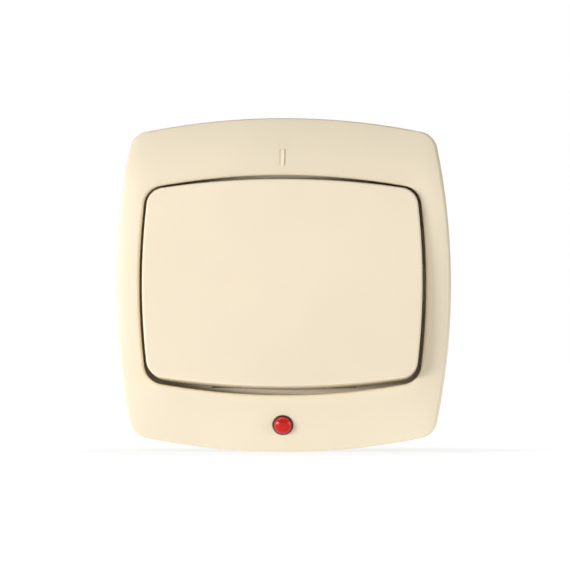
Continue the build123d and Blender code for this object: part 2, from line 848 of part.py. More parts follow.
def make_right_claw_nut():
    half = claw_nut_width / 2
    plate = area(claw_screw_x - half, claw_screw_x + half, -claw_half_width, claw_half_width)
    plate = fillet(plate.vertices(), 0.6) - disc(claw_screw_x, 0, claw_screw_radius + fit)
    return prism(plate, -claw_nut_depth - claw_nut_thickness, -claw_nut_depth)


def clip(x, radius):
    """Cradle that a round body snaps into."""
    half = radius + fit + clip_wall
    cradle = area(x - clip_thickness / 2, x + clip_thickness / 2, lamp_z - half, lamp_z + half)
    cradle = prism(cradle, holder_front - fit, lamp_height + clip_wrap)
    return cradle - rod_x(lamp_height, lamp_z, radius + fit, x - clip_thickness, x + clip_thickness)


def make_lamp_holder():
    start = -lamp_length / 2 - holder_end
    base = area(start, resistor_end, lamp_z - holder_margin, lamp_z + holder_margin)
    holder = prism(fillet(base.vertices(), 1.0), plate_thickness, holder_front)
    for x in (-lamp_length / 3, lamp_length / 3):
        holder += clip(x, lamp_radius)
    holder += clip((resistor_start + resistor_end) / 2, resistor_radius)
    holder -= rod_x(lamp_height, lamp_z, lamp_radius + fit, -lamp_length / 2 - fit, lamp_length / 2 + fit)
    for x, z in peg_places():
        holder += prism(disc(x, z, peg_radius), 0, plate_thickness)
    return holder


def make_neon_lamp():
    lamp = rod_x(lamp_height, lamp_z, lamp_radius, -lamp_length / 2, lamp_length / 2)
    lamp = fillet(lamp.edges().filter_by(GeomType.CIRCLE), lamp_radius * 0.55)
    return lamp


def make_lamp_resistor():
    part = rod_x(lamp_height, lamp_z, resistor_radius, resistor_start, resistor_end)
    part = fillet(part.edges().filter_by(GeomType.CIRCLE), resistor_radius * 0.4)
    wire = rod_x(lamp_height, lamp_z, bare_wire_radius, lamp_length / 2, resistor_end + bare_wire_length)
    return part + wire


def lead(points):
    """Insulated lead along a route of X, height and Z."""
    path = FilletPolyline(*[(x, -height, z) for x, height, z in points], radius=lead_bend)
    section = Plane(origin=path @ 0, z_dir=path % 0) * Circle(lead_radius)
    return sweep(section, path)


def lead_route(side, start):
    bend_x = resistor_end + bare_wire_length + lead_stub
    drop_x = bend_x + lead_side - lead_stub
    drop_z = -opening_height / 2 - skirt_wall - lead_radius - lead_skirt_gap
    depth = lead_depth()
    return [
        (side * start, lamp_height, lamp_z),
        (side * bend_x, lamp_height, lamp_z),
        (side * drop_x, lamp_height, drop_z),
        (side * drop_x, -depth, drop_z),
        (side * lead_x, -depth, -housing_half_z - lead_rise),
        (side * lead_x, -depth, -tail_bottom),
    ]


def make_load_lead():
    return lead(lead_route(1, resistor_end + bare_wire_length))


def make_line_lead():
    return lead(lead_route(-1, lamp_length / 2))


def rest(shape):
    """Move a piece of the rocker to its resting tilt, with the top pressed in."""
    return turn_x(shape, pivot_height, -rocker_tilt)


pieces = {
    "front_frame": make_front_frame(),
    "rocker": rest(make_rocker()),
    "indicator_lens": make_indicator_lens(),
    "frame_screws": make_frame_screws(),
    "support_plate": make_support_plate(),
    "switch_housing": make_switch_housing(),
    "housing_cover": make_housing_cover(),
    "housing_rivets": make_housing_rivets(),
    "rocker_carrier": rest(make_rocker_carrier()),
    "plunger": rest(make_plunger()),
    "plunger_spring": rest(make_plunger_spring()),
    "contact_lever": make_contact_lever(),
    "moving_contact": make_moving_contact(),
    "fixed_contact": make_fixed_contact(),
    "line_strip": make_line_strip(),
    "load_strip": make_load_strip(),
    "terminal_washers": make_terminal_washers(),
    "terminal_screws": make_terminal_screws(),
    "left_claw": mirror_left(make_right_claw()),
    "right_claw": make_right_claw(),
    "claw_screws": make_claw_screws(),
    "left_claw_nut": mirror_left(make_right_claw_nut()),
    "right_claw_nut": make_right_claw_nut(),
    "lamp_holder": make_lamp_holder(),
    "neon_lamp": make_neon_lamp(),
    "lamp_resistor": make_lamp_resistor(),
    "line_lead": make_line_lead(),
    "load_lead": make_load_lead(),
}

for name, piece in pieces.items():
    export_step(piece, f"parts/{name}.step")
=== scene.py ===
"""Looks of an illuminated light switch: finishes, turned metal details, lamps and camera."""

import json
import math

import bmesh
import bpy
from bpy.props import FloatProperty, FloatVectorProperty, PointerProperty
from bpy.types import Operator, Panel, PropertyGroup
from mathutils import Matrix, Vector

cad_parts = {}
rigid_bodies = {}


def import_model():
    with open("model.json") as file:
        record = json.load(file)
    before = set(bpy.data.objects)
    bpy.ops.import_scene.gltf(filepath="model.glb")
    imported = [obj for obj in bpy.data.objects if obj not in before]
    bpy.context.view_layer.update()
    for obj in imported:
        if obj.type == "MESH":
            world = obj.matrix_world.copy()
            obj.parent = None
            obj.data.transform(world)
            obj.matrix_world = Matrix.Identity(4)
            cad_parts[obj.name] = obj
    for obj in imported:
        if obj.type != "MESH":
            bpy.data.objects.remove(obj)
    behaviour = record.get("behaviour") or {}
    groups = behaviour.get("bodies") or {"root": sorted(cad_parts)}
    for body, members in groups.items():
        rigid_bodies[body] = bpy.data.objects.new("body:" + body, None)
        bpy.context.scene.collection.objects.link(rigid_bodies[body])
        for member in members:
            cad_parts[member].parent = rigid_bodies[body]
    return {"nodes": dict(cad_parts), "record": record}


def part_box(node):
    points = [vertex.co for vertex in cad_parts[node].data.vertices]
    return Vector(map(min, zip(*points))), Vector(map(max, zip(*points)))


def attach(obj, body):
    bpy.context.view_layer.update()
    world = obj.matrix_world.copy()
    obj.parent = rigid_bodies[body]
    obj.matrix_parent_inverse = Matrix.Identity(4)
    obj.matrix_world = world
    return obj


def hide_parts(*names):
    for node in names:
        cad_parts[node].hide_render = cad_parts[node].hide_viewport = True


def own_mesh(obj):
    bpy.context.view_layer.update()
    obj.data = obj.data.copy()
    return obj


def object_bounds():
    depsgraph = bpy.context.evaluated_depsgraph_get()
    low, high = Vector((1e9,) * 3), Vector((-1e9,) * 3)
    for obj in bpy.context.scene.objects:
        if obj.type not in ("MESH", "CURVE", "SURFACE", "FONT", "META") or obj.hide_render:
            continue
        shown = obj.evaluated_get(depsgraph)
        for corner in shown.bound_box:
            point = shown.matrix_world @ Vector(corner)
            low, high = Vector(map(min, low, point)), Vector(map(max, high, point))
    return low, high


bl_info = {
    "name": "Illuminated switch looks",
    "version": (1, 0, 0),
    "blender": (4, 5, 0),
    "location": "View3D > Sidebar > Switch",
    "description": "Finishes, metal details and a small studio for a rocker switch with an indicator",
    "category": "Object",
}

for leftover in list(bpy.data.objects):
    bpy.data.objects.remove(leftover)

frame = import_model()
CAD_BOX = [list(corner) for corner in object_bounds()]
NODES = frame["nodes"]
RECORD = frame["record"]
SLOT_COLOUR = {row["slot"]: tuple(row["base_color"][:3]) for row in RECORD["materials"]}

MM = 0.001
RIGHT = Vector((1, 0, 0))
BACK = Vector((0, 1, 0))
UP = Vector((0, 0, 1))

# Vertices nearer than MERGE become one, and edges sharper than CREASE stay sharp.
MERGE = 0.0005 * MM
CREASE = math.radians(35)

# The picture is square, and the frame is about FRAME_PIXELS wide in it.
PICTURE_PIXELS = 570
FRAME_PIXELS = 334
FRAME_WIDTH = CAD_BOX[1][0] - CAD_BOX[0][0]
CAMERA_TARGET = Vector((0.3 * MM, -3 * MM, 0))

# Place, width and height of each lamp in metres. All of them face the switch.
LAMPS = {
    "left": ((-0.60, -0.44, 0.0), 0.22, 0.08),
    "right": ((0.68, -0.28, 0.0), 0.26, 0.08),
    "top": ((-0.38, -0.36, 0.72), 0.3, 0.3),
    "rear": ((0.25, 1.0, 0.60), 0.9, 0.9),
}
FLOOR_RADIUS = 1.6
SKY_LIGHT = 0.14
SKY_COLOUR = (1, 0.985, 0.96, 1)


def colour_property(title, text, default):
    return FloatVectorProperty(
        name=title, description=text, subtype="COLOR", size=3, min=0, max=1, default=default)


def length_property(title, text, default):
    return FloatProperty(
        name=title, description=text, unit="LENGTH", precision=5, min=0, default=default)


def angle_property(title, text, degrees):
    return FloatProperty(
        name=title, description=text, unit="ROTATION", default=math.radians(degrees))


def power_property(title, text, default):
    return FloatProperty(name=title, description=text, unit="POWER", min=0, default=default)


class SwitchColours(PropertyGroup):
    frame_cream: colour_property("Frame", "Cream of the front frame", (0.850, 0.748, 0.567))
    rocker_cream: colour_property("Rocker", "Cream of the rocker", (0.850, 0.740, 0.563))
    lens_red: colour_property("Lens", "Red of the indicator lens", (0.50, 0.012, 0.008))
    housing_grey: colour_property("Housing", "Warm grey of the case", (0.62, 0.60, 0.54))
    cover_white: colour_property("Cover", "Off-white of cover and lamp holder", (0.72, 0.70, 0.63))
    zinc: colour_property("Zinc", "Plated screws and sheet", (0.60, 0.60, 0.585))
    claw_yellow: colour_property("Claws", "Yellow tint on the claws' plating", (0.78, 0.66, 0.34))
    brass: colour_property("Brass", "Contact strips and rivets", (0.80, 0.58, 0.25))
    silver: colour_property("Silver", "Contact buttons", (0.86, 0.86, 0.84))
    spring_steel: colour_property("Spring", "Wire of the plunger's spring", (0.45, 0.45, 0.47))
    nickel: colour_property("Nickel", "Electrodes of the glow lamp", (0.55, 0.54, 0.50))
    lead_black: colour_property("Leads", "Insulation of the leads", (0.025, 0.025, 0.028))


class SwitchSizes(PropertyGroup):
    thread_pitch: length_property("Thread pitch", "Pitch of the screws' threads", 0.5 * MM)
    thread_depth: length_property("Thread depth", "Depth of the screws' threads", 0.28 * MM)
    lens_lean: angle_property("Lens lean", "Angle of the lens below level", 20.0)
    lens_root: length_property("Lens root", "From the frame's skin to the lens's back", 2.8 * MM)
    lens_flange: length_property("Lens flange", "Radius of the flange behind the frame", 3.3 * MM)
    grain: length_property("Grain", "Size of the moulded grain", 0.22 * MM)
    bar_width: length_property("Bar width", "Width of the raised bar on the frame", 0.85 * MM)
    bar_length: length_property("Bar length", "Length of the raised bar on the frame", 4.0 * MM)
    bar_drop: length_property("Bar drop", "From the frame's top to the bar's middle", 9.7 * MM)
    # Width of the painted shade line along the bar's left side.
    bar_shade_line: length_property("Bar dust", "Width of the dust line beside the bar", 0.25 * MM)
    spring_wire: length_property("Spring wire", "Radius of the plunger spring's wire", 0.28 * MM)


class SwitchStage(PropertyGroup):
    azimuth: angle_property("Azimuth", "Camera to the right of the front", 2.3)
    elevation: angle_property("Elevation", "Camera above the front", 0.3)
    distance: length_property("Distance", "Camera to the frame's middle", 2.5)
    field: length_property("Field", "Width that the picture shows at the frame",
                           FRAME_WIDTH * PICTURE_PIXELS / FRAME_PIXELS)
    left_power: power_property("Left lamp", "Power of the stronger side lamp", 3.3)
    right_power: power_property("Right lamp", "Power of the weaker side lamp", 1.05)
    top_power: power_property("Top lamp", "Power of the lamp above", 2.1)
    rear_power: power_property("Rear lamp", "Power of the lamp behind", 2.5)


class Value:
    """A socket of a shader tree. Arithmetic on it adds Math nodes."""

    def __init__(self, finish, socket):
        self.finish = finish
        self.socket = socket

    def math(self, operation, first, second):
        return self.finish.node("ShaderNodeMath", {"operation": operation}, {0: first, 1: second})

    def __add__(self, other):
        return self.math("ADD", self, other)

    def __radd__(self, other):
        return self.math("ADD", other, self)

    def __sub__(self, other):
        return self.math("SUBTRACT", self, other)

    def __rsub__(self, other):
        return self.math("SUBTRACT", other, self)

    def __mul__(self, other):
        return self.math("MULTIPLY", self, other)

    def __rmul__(self, other):
        return self.math("MULTIPLY", other, self)

    def __lt__(self, other):
        return self.math("LESS_THAN", self, other)

    def __gt__(self, other):
        return self.math("GREATER_THAN", self, other)


class Finish:
    """One procedural material, made node by node."""

    # Colour sockets of a Mix node, which share their names with its other sockets.
    FIRST = 6
    SECOND = 7
    MIXED = 2

    def __init__(self, name):
        self.material = bpy.data.materials.new(name)
        self.material.use_nodes = True
        self.tree = self.material.node_tree
        self.tree.nodes.clear()
        self.where = self.node("ShaderNodeTexCoord", out="Object")

    def node(self, kind, settings=None, inputs=None, out=0):
        """Make a node, set it, fill or link its sockets and return one output."""
        made = self.tree.nodes.new(kind)
        for key, setting in (settings or {}).items():
            setattr(made, key, setting)
        for key, given in (inputs or {}).items():
            if isinstance(given, Value):
                self.tree.links.new(given.socket, made.inputs[key])
            else:
                made.inputs[key].default_value = given
        return Value(self, made.outputs[out]) if made.outputs else None

    def noise(self, size, detail, where=None):
        """Cloud pattern from 0 to 1 with patches of a size in metres."""
        return self.node("ShaderNodeTexNoise", {}, {
            "Vector": where or self.where, "Scale": 1 / size, "Detail": detail}, "Fac")

    def stretched(self, x, y, z):
        """Object coordinates scaled along each axis."""
        return self.node("ShaderNodeMapping", {}, {"Vector": self.where, "Scale": (x, y, z)})

    def axis(self, name):
        """One of the object coordinates."""
        return self.node("ShaderNodeSeparateXYZ", {}, {"Vector": self.where}, name)

    def size(self, value):
        """Value without its sign."""
        return self.node("ShaderNodeMath", {"operation": "ABSOLUTE"}, {0: value})

    def length(self, vector):
        """How far a vector reaches."""
        return self.node("ShaderNodeVectorMath", {"operation": "LENGTH"}, {0: vector}, "Value")

    def step(self, value, low, high):
        """Smooth rise from 0 to 1 between two values."""
        return self.node("ShaderNodeMapRange", {"interpolation_type": "SMOOTHSTEP"}, {
            "Value": value, "From Min": low, "From Max": high})

    def mix(self, share, first, second):
        """Blend two colours."""
        sides = [tone if isinstance(tone, Value) else (*tone, 1) for tone in (first, second)]
        return self.node("ShaderNodeMix", {"data_type": "RGBA"}, {
            "Factor": share, self.FIRST: sides[0], self.SECOND: sides[1]}, self.MIXED)

    def bump(self, height, depth, strength):
        """Normal that follows a pattern of heights."""
        return self.node("ShaderNodeBump", {}, {
            "Height": height, "Distance": depth, "Strength": strength})

    def edge(self, radius):
        """Mask that is 1 on sharp edges and 0 on flats."""
        on_flat = 0.995
        on_edge = 0.85
        soft = self.node("ShaderNodeBevel", {"samples": 4}, {"Radius": radius})
        hard = self.node("ShaderNodeNewGeometry", out="Normal")
        same = self.node(
            "ShaderNodeVectorMath", {"operation": "DOT_PRODUCT"}, {0: soft, 1: hard}, "Value")
        return self.step(same, on_flat, on_edge)

    def surface(self, **sockets):
        """Close the tree with a principled surface."""
        named = {key.replace("_", " "): given for key, given in sockets.items()}
        shader = self.node("ShaderNodeBsdfPrincipled", {}, named)
        self.node("ShaderNodeOutputMaterial", {}, {"Surface": shader})
        return self.material


def shade(colour, share):
    """Colour made lighter or darker."""
    return tuple(min(1.0, part * share) for part in colour)


def blend(first, second, share):
    """Colour between two others."""
    return tuple(a + (b - a) * share for a, b in zip(first, second))


def grey(level):
    """Colour without a tint."""
    return (level, level, level)


def bar_highlight_and_shade(made, tone, colour, sizes):
    """Bar with a painted highlight on its face and a painted shade line along its left side."""
    # Painted highlight: the bar's face is made lighter. Painted shade: a line along its left side is
    # made darker.
    painted_bar_highlight = shade(colour, 1.06)
    painted_groove_shade = shade(colour, 0.85)
    _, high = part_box("front_frame")
    across = made.axis("X")
    level = made.size(made.axis("Z") - (high.z - sizes.bar_drop))
    beside = level < sizes.bar_length / 2
    half = sizes.bar_width / 2
    near = -half - sizes.bar_shade_line / 2
    dust_and_painted_shade = (across < near) * (across > near - sizes.bar_shade_line) * beside
    tone = made.mix((made.size(across) < half) * beside, tone, painted_bar_highlight)
    return made.mix(dust_and_painted_shade, tone, painted_groove_shade)


def moulded_cream(name, colour, sizes, barred=False):
    """Glossy cream moulding with a faint drift of tone and a very fine skin."""
    made = Finish(name)
    drift_size = 22 * MM
    smear_size = 9 * MM
    skin_depth = 0.012 * MM
    drift = made.noise(drift_size, 1.0)
    skin = made.noise(sizes.grain, 3.0)
    smear = made.noise(smear_size, 3.0, made.stretched(1, 1, 0.45))
    tone = made.mix(made.step(drift, 0.3, 0.7), shade(colour, 0.985), shade(colour, 1.01))
    # The frame's bar gets a painted highlight and a painted shade line.
    if barred:
        tone = bar_highlight_and_shade(made, tone, colour, sizes)
    return made.surface(
        Base_Color=tone, Roughness=0.33 + 0.10 * smear + 0.04 * skin, IOR=1.5,
        Normal=made.bump(skin + 0.6 * drift, skin_depth, 0.35))


def matt_moulding(name, colour, grain, rough=0.55):
    """Matt technical plastic with flow streaks and an eroded grain."""
    made = Finish(name)
    cloud_size = 7 * MM
    streak_size = 5 * MM
    dust_size = 1.1 * MM
    skin_depth = 0.02 * MM
    pale = blend(colour, (1, 0.97, 0.9), 0.3)
    cloud = made.noise(cloud_size, 3.0)
    streak = made.noise(streak_size, 4.0, made.stretched(0.25, 1, 1))
    skin = made.noise(grain, 4.0)
    dust_and_painted_shade = made.step(made.noise(dust_size, 5.0), 0.62, 0.8)
    tone = made.mix(made.step(cloud, 0.25, 0.75), shade(colour, 0.985), shade(colour, 1.015))
    tone = made.mix(0.10 * made.step(streak, 0.55, 0.75), tone, pale)
    tone = made.mix(0.10 * dust_and_painted_shade, tone, shade(colour, 0.72))
    return made.surface(
        Base_Color=tone, Roughness=rough + 0.12 * cloud + 0.06 * skin, IOR=1.5,
        Normal=made.bump(skin, skin_depth, 0.5))


def red_lens(name, colour, sizes):
    """Red dome with small prisms, a paler ring, a painted shade rim, a fine frost and a faint painted
    glow.
    """
    made = Finish(name)
    paler_ring_start = 1.65 * MM
    paler_ring_end = 1.85 * MM
    rim_shade_start = 2.02 * MM
    rim_shade_end = 2.24 * MM
    rim_shade_lift = 0.22 * MM
    prism_size = 0.9 * MM
    frost_size = 0.35 * MM
    frost_depth = 0.02 * MM
    paler_ring = blend(colour, (0.75, 0.45, 0.40), 0.5)
    painted_rim_shade = blend(shade(colour, 0.16), (0.05, 0.02, 0.01), 0.5)
    _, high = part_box("indicator_lens")
    lean = sizes.lens_lean
    root = sizes.lens_root
    flange = sizes.lens_flange
    middle = Vector((0, high.y - root * math.cos(lean) - flange * math.sin(lean),
                     high.z - root * math.sin(lean) - flange * math.cos(lean)))
    turn = Matrix.Rotation(-lean, 3, "X")
    upright = made.node("ShaderNodeMapping", {}, {
        "Vector": made.where, "Rotation": (-lean, 0, 0), "Location": -(turn @ middle) - UP * rim_shade_lift})
    flat = made.node("ShaderNodeVectorMath", {"operation": "MULTIPLY"}, {0: upright, 1: (1, 0, 1)})
    radius = made.length(flat)
    # Painted shade: the lens's rim is made dark, as the gap round it lies in shadow.
    rim = made.step(radius, rim_shade_start, rim_shade_end)
    # A paler ring just inside the dark rim.
    wall = made.step(radius, paler_ring_start, paler_ring_end) * (1 - rim)
    frost = made.noise(frost_size, 2.0)
    cells = made.node(
        "ShaderNodeTexVoronoi", {}, {"Vector": flat, "Scale": 1 / prism_size}, "Distance")
    prisms = made.step(cells, 0.15, 0.6)
    tone = made.mix(0.4 * prisms, colour, shade(colour, 0.6))
    tone = made.mix(0.2 * wall, tone, paler_ring)
    tone = made.mix(rim, tone, painted_rim_shade)
    # Painted glow: a faint red emission inside the rim, which evens out the lens's shading.
    painted_glow = made.mix(rim, shade(colour, 1.2), grey(0))
    return made.surface(
        Base_Color=tone, Roughness=0.18 + 0.12 * frost, IOR=1.49, Specular_IOR_Level=0.25,
        Transmission_Weight=0.1, Emission_Color=painted_glow, Emission_Strength=0.25,
        Normal=made.bump(frost, frost_depth, 0.4))


def plated(name, colour, rough, tint=(0.80, 0.78, 0.60), tint_share=0.25):
    """Plated metal: cloudy passivation, fine drawing lines and bright edges."""
    made = Finish(name)
    cloud_size = 3.5 * MM
    tint_size = 6 * MM
    line_size = 0.5 * MM
    spot_size = 0.8 * MM
    edge_radius = 0.12 * MM
    line_depth = 0.01 * MM
    cloud = made.noise(cloud_size, 4.0)
    lines = made.noise(line_size, 3.0, made.stretched(0.12, 1, 1))
    spots = made.step(made.noise(spot_size, 5.0), 0.6, 0.78)
    tone = made.mix(made.step(cloud, 0.3, 0.7), shade(colour, 0.95), shade(colour, 1.04))
    tone = made.mix(tint_share * made.step(made.noise(tint_size, 3.0), 0.35, 0.7), tone, tint)
    tone = made.mix(0.20 * spots, tone, shade(colour, 0.6))
    tone = made.mix(0.5 * made.edge(edge_radius), tone, shade(colour, 1.3))
    return made.surface(
        Base_Color=tone, Metallic=1.0, Roughness=rough + 0.18 * lines + 0.08 * spots,
        Normal=made.bump(lines, line_depth, 0.35))


def warm_metal(name, colour, rough):
    """Brass with patches of tarnish and bright edges."""
    made = Finish(name)
    tarnish_size = 2.2 * MM
    line_size = 0.35 * MM
    edge_radius = 0.1 * MM
    line_depth = 0.008 * MM
    tarnish = made.step(made.noise(tarnish_size, 5.0), 0.45, 0.75)
    lines = made.noise(line_size, 2.0, made.stretched(1, 0.15, 1))
    tone = made.mix(0.6 * tarnish, colour, (0.40, 0.25, 0.12))
    tone = made.mix(0.4 * made.edge(edge_radius), tone, shade(colour, 1.2))
    return made.surface(
        Base_Color=tone, Metallic=1.0, Roughness=rough + 0.22 * tarnish + 0.08 * lines,
        Normal=made.bump(lines, line_depth, 0.3))


def lamp_glass(name):
    """Clear tube with a faint sputtered haze near its ends."""
    made = Finish(name)
    haze_start = 2.0 * MM
    haze_end = 5.0 * MM
    haze_size = 1.2 * MM
    ends = made.step(made.size(made.axis("X")), haze_start, haze_end)
    haze = ends * made.noise(haze_size, 3.0)
    tone = made.mix(haze, (0.98, 0.95, 0.92), (0.62, 0.55, 0.50))
    return made.surface(
        Base_Color=tone, Roughness=0.03 + 0.12 * haze, IOR=1.47, Transmission_Weight=0.9)


def banded_resistor(name, colour):
    """Lacquered body with four plain bands and tinned wire ends."""
    made = Finish(name)
    # Place of each band's middle along the resistor, and its paint.
    bands = (
        (7.2 * MM, (0.10, 0.05, 0.03)),
        (8.2 * MM, (0.02, 0.02, 0.02)),
        (9.2 * MM, (0.75, 0.55, 0.03)),
        (10.6 * MM, (0.55, 0.38, 0.10)),
    )
    half_band = 0.25 * MM
    body_start = 6.0 * MM
    body_end = 11.4 * MM
    seam = 0.01 * MM
    lacquer_size = 1.5 * MM
    gloss_size = 0.8 * MM
    tin = (0.72, 0.71, 0.68)
    along = made.axis("X")
    tone = made.mix(made.noise(lacquer_size, 3.0), shade(colour, 0.9), shade(colour, 1.08))
    for place, paint in bands:
        tone = made.mix(made.size(along - place) < half_band, tone, paint)
    left_wire = made.step(along, body_start, body_start - seam)
    wire = made.step(along, body_end, body_end + seam) + left_wire
    tone = made.mix(wire, tone, tin)
    return made.surface(
        Base_Color=tone, Metallic=wire, Roughness=0.28 + 0.15 * made.noise(gloss_size, 3.0), IOR=1.5)


def insulation(name, colour):
    """Soft black insulation, slightly scuffed."""
    made = Finish(name)
    scuff_size = 0.9 * MM
    skin_size = 0.25 * MM
    skin_depth = 0.01 * MM
    scuff = made.step(made.noise(scuff_size, 4.0), 0.5, 0.8)
    tone = made.mix(0.5 * scuff, colour, (0.16, 0.16, 0.17))
    return made.surface(
        Base_Color=tone, Roughness=0.42 + 0.2 * scuff, IOR=1.5,
        Normal=made.bump(made.noise(skin_size, 2.0), skin_depth, 0.4))


def pale_floor(name):
    """Plain white floor that glows evenly, a little less beside the switch as a painted contact shade.
    """
    made = Finish(name)
    foot = 0.03
    beside = 0.10
    away = 0.35
    far = 0.80
    cloud_size = 0.2
    tone = made.mix(made.noise(cloud_size, 2.0), grey(0.20), grey(0.24))
    apart = made.length(made.where)
    # Painted contact shade: the floor glows less within a few centimetres of the switch's foot, which
    # also sends less light up onto the frame.
    light = made.mix(made.step(apart, foot, beside), grey(0.74), grey(0.92))
    light = made.mix(made.step(apart, away, far), light, grey(1))
    return made.surface(
        Base_Color=tone, Roughness=0.9, Emission_Color=light, Emission_Strength=1.0)


def dress(material, *names):
    """Give a finish to CAD nodes."""
    for name in names:
        NODES[name].data.materials.clear()
        NODES[name].data.materials.append(material)


def keep(name, bm, material, body):
    """Turn a finished bmesh into a piece that rides on a body."""
    bmesh.ops.remove_doubles(bm, verts=bm.verts, dist=MERGE)
    bmesh.ops.recalc_face_normals(bm, faces=bm.faces)
    mesh = bpy.data.meshes.new(name)
    bm.to_mesh(mesh)
    bm.free()
    mesh.materials.append(material)
    mesh.shade_smooth()
    mesh.set_sharp_from_angle(angle=CREASE)
    piece = bpy.data.objects.new(name, mesh)
    bpy.context.scene.collection.objects.link(piece)
    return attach(piece, body)


def touching(verts):
    """Vertices with the edges and faces that use them."""
    faces = {face for vert in verts for face in vert.link_faces}
    edges = {edge for vert in verts for edge in vert.link_edges}
    return [*verts, *edges, *faces]


def connected(face):
    """All vertices joined to a face."""
    found = set(face.verts)
    front = list(found)
    while front:
        vert = front.pop()
        for edge in vert.link_edges:
            other = edge.other_vert(vert)
            if other not in found:
                found.add(other)
                front.append(other)
    return list(found)


def along_axis(origin, axis):
    """Place that puts its own +Z on an axis through a point."""
    return Matrix.Translation(origin) @ UP.rotation_difference(axis).to_matrix().to_4x4()


def millimetres(*outline):
    """Outline of radius and height, given in millimetres."""
    return [(radius * MM, height * MM) for radius, height in outline]


def turned(bm, outline, origin, axis, steps=40, closed=False):
    """Spin an outline of radius and height about an axis through a point."""
    place = along_axis(origin, axis)
    points = [bm.verts.new(place @ Vector((radius, 0, height))) for radius, height in outline]
    edges = [bm.edges.new(pair) for pair in zip(points, points[1:])]
    if closed:
        edges.append(bm.edges.new((points[-1], points[0])))
    bmesh.ops.spin(
        bm, geom=points + edges, cent=origin, axis=axis, angle=math.tau, steps=steps,
        use_merge=True)


def thread(bm, origin, axis, root, crest, pitch, length, steps=20):
    """Helical ridge round a shank, from a point and along an axis."""
    # Heights are shares of the pitch: a foot, a narrow flat crest and a foot.
    corners = ((root, 0.06), (crest, 0.46), (crest, 0.58), (root, 0.98))
    place = along_axis(origin, axis)
    points = [bm.verts.new(place @ Vector((radius, 0, height * pitch))) for radius, height in corners]
    section = bm.faces.new(points)
    count = max(1, round((length / pitch - 1) * steps))
    bmesh.ops.spin(
        bm, geom=[section, *section.edges, *points], cent=origin, axis=axis,
        dvec=axis * (pitch / steps), angle=math.tau * count / steps, steps=count)


def coil(bm, origin, axis, wire, radius, stretches, steps=24):
    """Wind a round wire about an axis, in stretches of turns and pitch."""
    place = along_axis(origin, axis) @ Matrix.Translation((radius, 0, 0))
    ring = bmesh.ops.create_circle(
        bm, cap_ends=True, segments=12, radius=wire,
        matrix=place @ Matrix.Rotation(math.pi / 2, 4, "X"))
    end = touching(ring["verts"])
    for turns, pitch in stretches:
        count = round(turns * steps)
        wound = bmesh.ops.spin(
            bm, geom=end, cent=origin, axis=axis, dvec=axis * (pitch / steps),
            angle=math.tau * count / steps, steps=count)
        end = wound["geom_last"]


def slotted_head(bm, origin, axis, radius, height, slot_width, slot_depth):
    """Cheese head: a turned disc below and two halves beside the slot."""
    lip_radius = 0.15 * MM
    sink = 0.002 * MM
    segments = 48
    floor = height - slot_depth
    turned(bm, [(0, 0), (radius, 0), (radius, floor), (0, floor)], origin, axis, steps=segments)
    place = along_axis(origin, axis) @ Matrix.Translation((0, 0, floor - sink))
    for side in (-1, 1):
        disc = bmesh.ops.create_circle(bm, cap_ends=True, segments=segments, radius=radius)
        half = bmesh.ops.bisect_plane(
            bm, geom=touching(disc["verts"]), plane_co=(0, side * slot_width / 2, 0),
            plane_no=(0, side, 0), clear_inner=True)
        face = next(item for item in half["geom"] if isinstance(item, bmesh.types.BMFace))
        raised = bmesh.ops.extrude_face_region(bm, geom=[face], use_keep_orig=True)
        top = {item for item in raised["geom"] if isinstance(item, bmesh.types.BMVert)}
        bmesh.ops.translate(bm, verts=list(top), vec=(0, 0, slot_depth))
        lip = [edge for edge in bm.edges if top.issuperset(edge.verts)]
        bmesh.ops.bevel(
            bm, geom=lip, offset=lip_radius, segments=2, profile=0.5, affect="EDGES", material=-1)
        bmesh.ops.transform(bm, verts=connected(face), matrix=place)


class SWITCH_OT_front(Operator):
    """Dress the frame, the rocker and the indicator lens"""
    bl_idname = "switch.front"
    bl_label = "Front mouldings"

    def execute(self, context):
        colours = context.scene.switch_colours
        sizes = context.scene.switch_sizes
        dress(moulded_cream("frame_cream", colours.frame_cream, sizes, barred=True), "front_frame")
        dress(moulded_cream("rocker_cream", colours.rocker_cream, sizes), "rocker")
        dress(red_lens("lens_red", colours.lens_red, sizes), "indicator_lens")
        return {"FINISHED"}


class SWITCH_OT_mouldings(Operator):
    """Dress the case, its cover and the small mouldings inside"""
    bl_idname = "switch.mouldings"
    bl_label = "Technical mouldings"

    def execute(self, context):
        colours = context.scene.switch_colours
        grain = context.scene.switch_sizes.grain
        carrier = SLOT_COLOUR["carrier_plastic"]
        plunger = SLOT_COLOUR["plunger_plastic"]
        dress(matt_moulding("housing_grey", colours.housing_grey, grain), "switch_housing")
        dress(matt_moulding("cover_white", colours.cover_white, grain), "housing_cover", "lamp_holder")
        dress(matt_moulding("carrier_white", carrier, grain, rough=0.4), "rocker_carrier")
        dress(matt_moulding("plunger_dark", plunger, grain, rough=0.35), "plunger")
        return {"FINISHED"}


class SWITCH_OT_metalwork(Operator):
    """Dress the plate, claws, strips and contacts"""
    bl_idname = "switch.metalwork"
    bl_label = "Sheet metal and contacts"

    def execute(self, context):
        colours = context.scene.switch_colours
        claw = shade(colours.zinc, 0.93)
        tarnish = (0.5, 0.45, 0.4)
        dress(plated("zinc_sheet", colours.zinc, rough=0.32), "support_plate", "terminal_washers")
        dress(plated("claw_steel", claw, rough=0.34, tint=colours.claw_yellow, tint_share=0.55),
              "left_claw", "right_claw", "left_claw_nut", "right_claw_nut")
        dress(warm_metal("strip_brass", colours.brass, rough=0.25),
              "line_strip", "load_strip", "contact_lever")
        dress(plated("contact_silver", colours.silver, rough=0.2, tint=tarnish, tint_share=0.3),
              "moving_contact", "fixed_contact")
        return {"FINISHED"}


